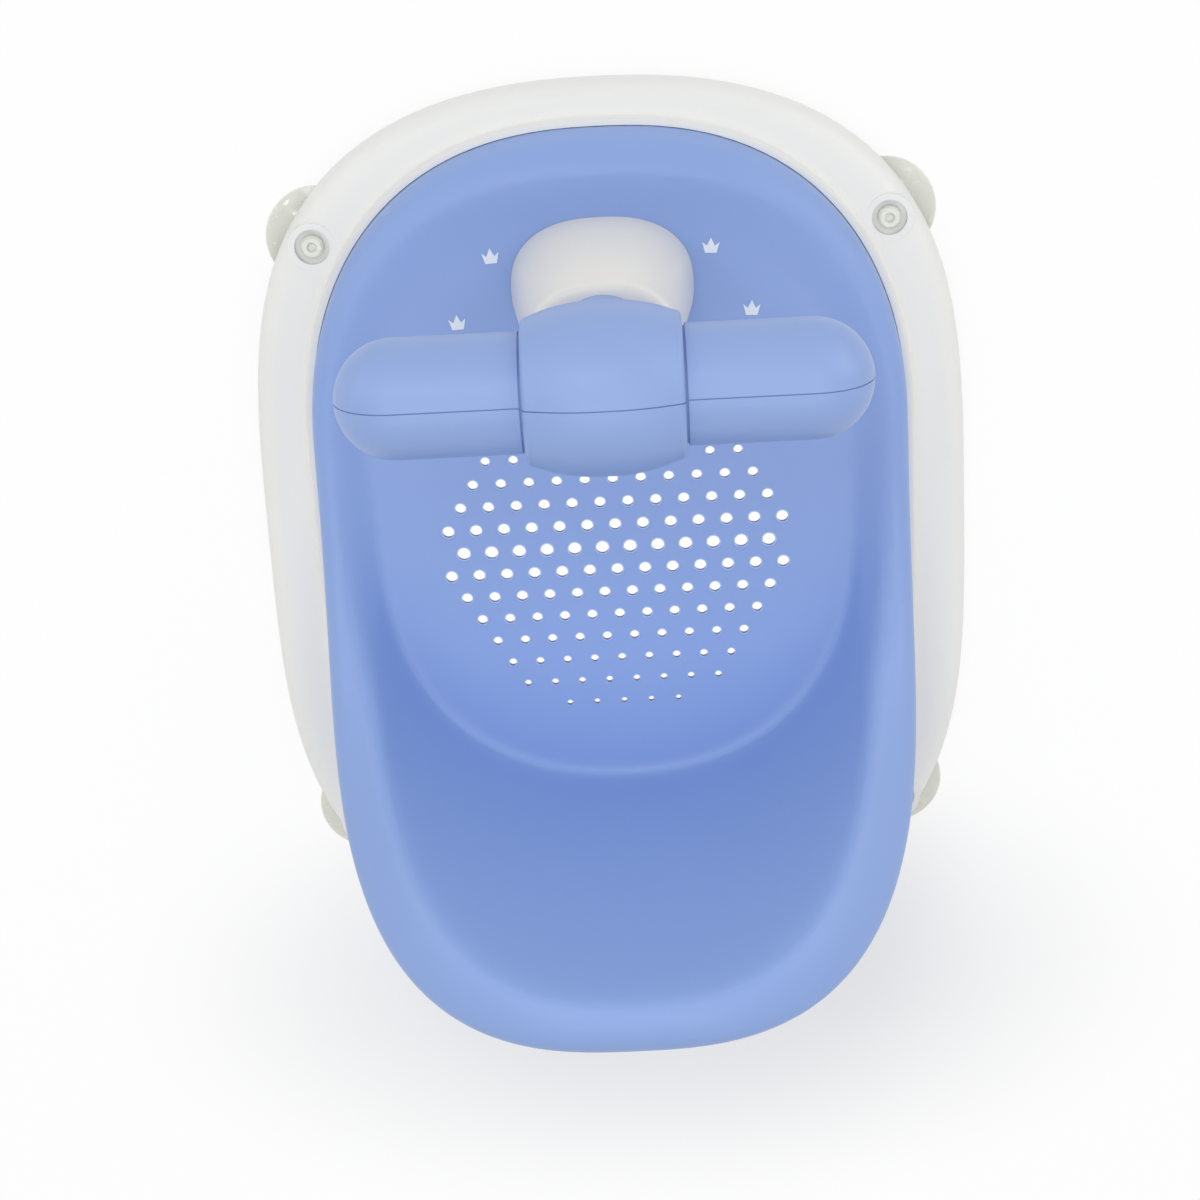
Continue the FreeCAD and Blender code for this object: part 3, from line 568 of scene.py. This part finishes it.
@dataclass
class Studio:
    """A plain white floor, soft lamps and the camera."""

    floor_size: float = 12.0
    floor_colour: str = "#f4f4f4"
    white: tuple[float, float, float, float] = (1.0, 1.0, 1.0, 1.0)
    # How much of the floor is seen as plain white: all of it under the seat, seen through the drain
    # holes, where this glow is painted light that whites out the seat's shadow, most of it round
    # the seat, and none of it behind the backrest, where the soft shadow falls. The two ellipses'
    # sizes are in metres, and their edges are shares of them
    glow_under_seat: float = 1.0
    glow_around: float = 0.9
    glow_behind: float = 0.0
    open_half_width: float = 0.105
    open_half_length: float = 0.150
    open_edge: float = 0.9
    behind_middle: tuple[float, float, float] = (-0.01, 0.235, 0.0)
    behind_half_width: float = 0.27
    behind_half_length: float = 0.14
    behind_edge: float = 0.3
    world_level: float = 0.56
    lens_mm: float = 78.0
    sensor_mm: float = 36.0
    camera_at_mm: tuple[float, float, float] = (-11.37, -363.43, 1105.72)
    camera_right: tuple[float, float, float] = (-0.998644, 0.052058, 0.000477)
    camera_down: tuple[float, float, float] = (0.049068, 0.938134, 0.342778)
    clip_start: float = 0.05
    clip_end: float = 50.0
    lamps: tuple[SoftLamp, ...] = (
        SoftLamp("key", (0.3, -1.0, 1.7), side=0.6, watts=4.0),
        SoftLamp("glint_left", (0.94, -0.56, 1.6), side=0.14, watts=0.7),
        SoftLamp("glint_right", (-0.85, -0.6, 1.6), side=0.12, watts=0.25),
        SoftLamp("top", (0.0, 0.2, 1.9), side=1.6, watts=10.2),
        SoftLamp("low_left", (1.4, -0.9, 0.8), side=1.2, watts=4.5),
        SoftLamp("low_right", (-1.4, -0.9, 0.8), side=1.2, watts=6.4))

    def build(self) -> None:
        """Builds floor, world, lamps and camera."""
        self.world()
        self.floor()
        for lamp in self.lamps:
            lamp.hang()
        self.camera()
        bpy.context.scene.view_settings.view_transform = "Standard"

    def seen_directly(self, tree: bpy.types.NodeTree) -> bpy.types.NodeSocket:
        """Tells rays that show the background from rays that light the object.

        Args:
            tree: the tree to add the nodes to.

        Returns:
            1 for camera, mirror and glass rays, otherwise 0.
        """
        path = add_node(tree, "ShaderNodeLightPath")
        mirror = add_node(tree, "ShaderNodeMath", {
            0: path.outputs["Is Camera Ray"], 1: path.outputs["Is Glossy Ray"]},
            operation="MAXIMUM")
        glass = add_node(tree, "ShaderNodeMath", {
            0: mirror.outputs[0], 1: path.outputs["Is Transmission Ray"]},
            operation="MAXIMUM")
        return glass.outputs[0]

    def world(self) -> None:
        """Lights softly from all round, and shows white where it is seen."""
        world = bpy.data.worlds.new("studio_room")
        bpy.context.scene.world = world
        world.use_nodes = True
        tree = world.node_tree
        tree.nodes.clear()
        level = add_node(tree, "ShaderNodeMapRange", {
            "Value": self.seen_directly(tree), "To Min": self.world_level, "To Max": 1.0})
        back = add_node(tree, "ShaderNodeBackground", {
            "Color": self.white, "Strength": level.outputs["Result"]})
        add_node(tree, "ShaderNodeOutputWorld", {"Surface": back.outputs["Background"]})

    def floor(self) -> None:
        """Lays the floor, which keeps the object's shadow under its own pale glow, except under the
        seat, where the glow is painted light that whites out the seat's shadow.
        """
        mesh = bpy.data.meshes.new("studio_floor")
        half = 0.5 * self.floor_size
        corners = [(-half, -half, 0.0), (half, -half, 0.0), (half, half, 0.0), (-half, half, 0.0)]
        mesh.from_pydata(corners, [], [(0, 1, 2, 3)])
        floor = bpy.data.objects.new("studio_floor", mesh)
        bpy.context.scene.collection.objects.link(floor)
        material = empty_material("matt_white_floor")
        tree = material.node_tree
        matt = add_node(tree, "ShaderNodeBsdfDiffuse", {"Color": linear(self.floor_colour)})
        glow = add_node(tree, "ShaderNodeEmission", {"Color": self.white, "Strength": 1.0})
        share = add_node(tree, "ShaderNodeMath", {
            0: self.seen_directly(tree), 1: self.floor_glow(tree)}, operation="MULTIPLY")
        both = add_node(tree, "ShaderNodeMixShader", {
            0: share.outputs[0], 1: matt.outputs["BSDF"], 2: glow.outputs["Emission"]})
        add_node(tree, "ShaderNodeOutputMaterial", {"Surface": both.outputs["Shader"]})
        mesh.materials.append(material)

    def floor_glow(self, tree: bpy.types.NodeTree) -> bpy.types.NodeSocket:
        """Grades the floor's white by its own place, in metres.

        Args:
            tree: the tree to add the nodes to.

        Returns:
            The share of the floor that is seen as plain white.
        """
        place = add_node(tree, "ShaderNodeTexCoord").outputs["Object"]
        past = add_node(tree, "ShaderNodeVectorMath", {
            0: place, 1: self.behind_middle}, operation="SUBTRACT").outputs["Vector"]
        behind = add_node(tree, "ShaderNodeMapRange", {
            "Value": self.reach(tree, past, self.behind_half_width, self.behind_half_length),
            "From Min": self.behind_edge, "From Max": 1.0,
            "To Min": self.glow_behind, "To Max": self.glow_around},
            interpolation_type="SMOOTHSTEP")
        # Under the seat the floor glows full white: painted light over the seat's shadow.
        under = add_node(tree, "ShaderNodeMapRange", {
            "Value": self.reach(tree, place, self.open_half_width, self.open_half_length),
            "From Min": self.open_edge, "From Max": 1.0,
            "To Min": self.glow_under_seat, "To Max": 0.0})
        glow = add_node(tree, "ShaderNodeMath", {
            0: behind.outputs["Result"], 1: under.outputs["Result"]}, operation="MAXIMUM")
        return glow.outputs[0]

    def reach(self, tree: bpy.types.NodeTree, place: bpy.types.NodeSocket, half_width: float,
              half_length: float) -> bpy.types.NodeSocket:
        """Measures how far out a place is in an ellipse on the floor.

        Args:
            tree: the tree to add the nodes to.
            place: the place, from the ellipse's middle.
            half_width: the ellipse's half width, in metres.
            half_length: the ellipse's half length, in metres.

        Returns:
            0 in the middle and 1 on the ellipse.
        """
        scaled = add_node(tree, "ShaderNodeVectorMath", {
            0: place, 1: (1.0 / half_width, 1.0 / half_length, 0.0)}, operation="MULTIPLY")
        length = add_node(tree, "ShaderNodeVectorMath", {
            0: scaled.outputs["Vector"]}, operation="LENGTH")
        return length.outputs["Value"]

    def camera(self) -> None:
        """Sets the camera at the photograph's angle."""
        data = bpy.data.cameras.new("camera")
        data.lens, data.sensor_width = self.lens_mm, self.sensor_mm
        camera = bpy.data.objects.new("camera", data)
        bpy.context.scene.collection.objects.link(camera)
        right = Vector(self.camera_right).normalized()
        up = -Vector(self.camera_down).normalized()
        back = right.cross(up).normalized()
        up = back.cross(right)
        turn = Matrix((right, up, back)).transposed().to_4x4()
        camera.matrix_world = Matrix.Translation(Vector(self.camera_at_mm) * MM) @ turn
        data.clip_start, data.clip_end = self.clip_start, self.clip_end
        bpy.context.scene.camera = camera


def main() -> None:
    """Builds the seat's sub-assemblies in order, then the studio."""
    logging.basicConfig(level=logging.INFO, format="%(message)s")
    SeatShell().build()
    Base().build()
    Post().build()
    TBar().build()
    Screws().build()
    Studio().build()


if __name__ == "__main__":
    main()
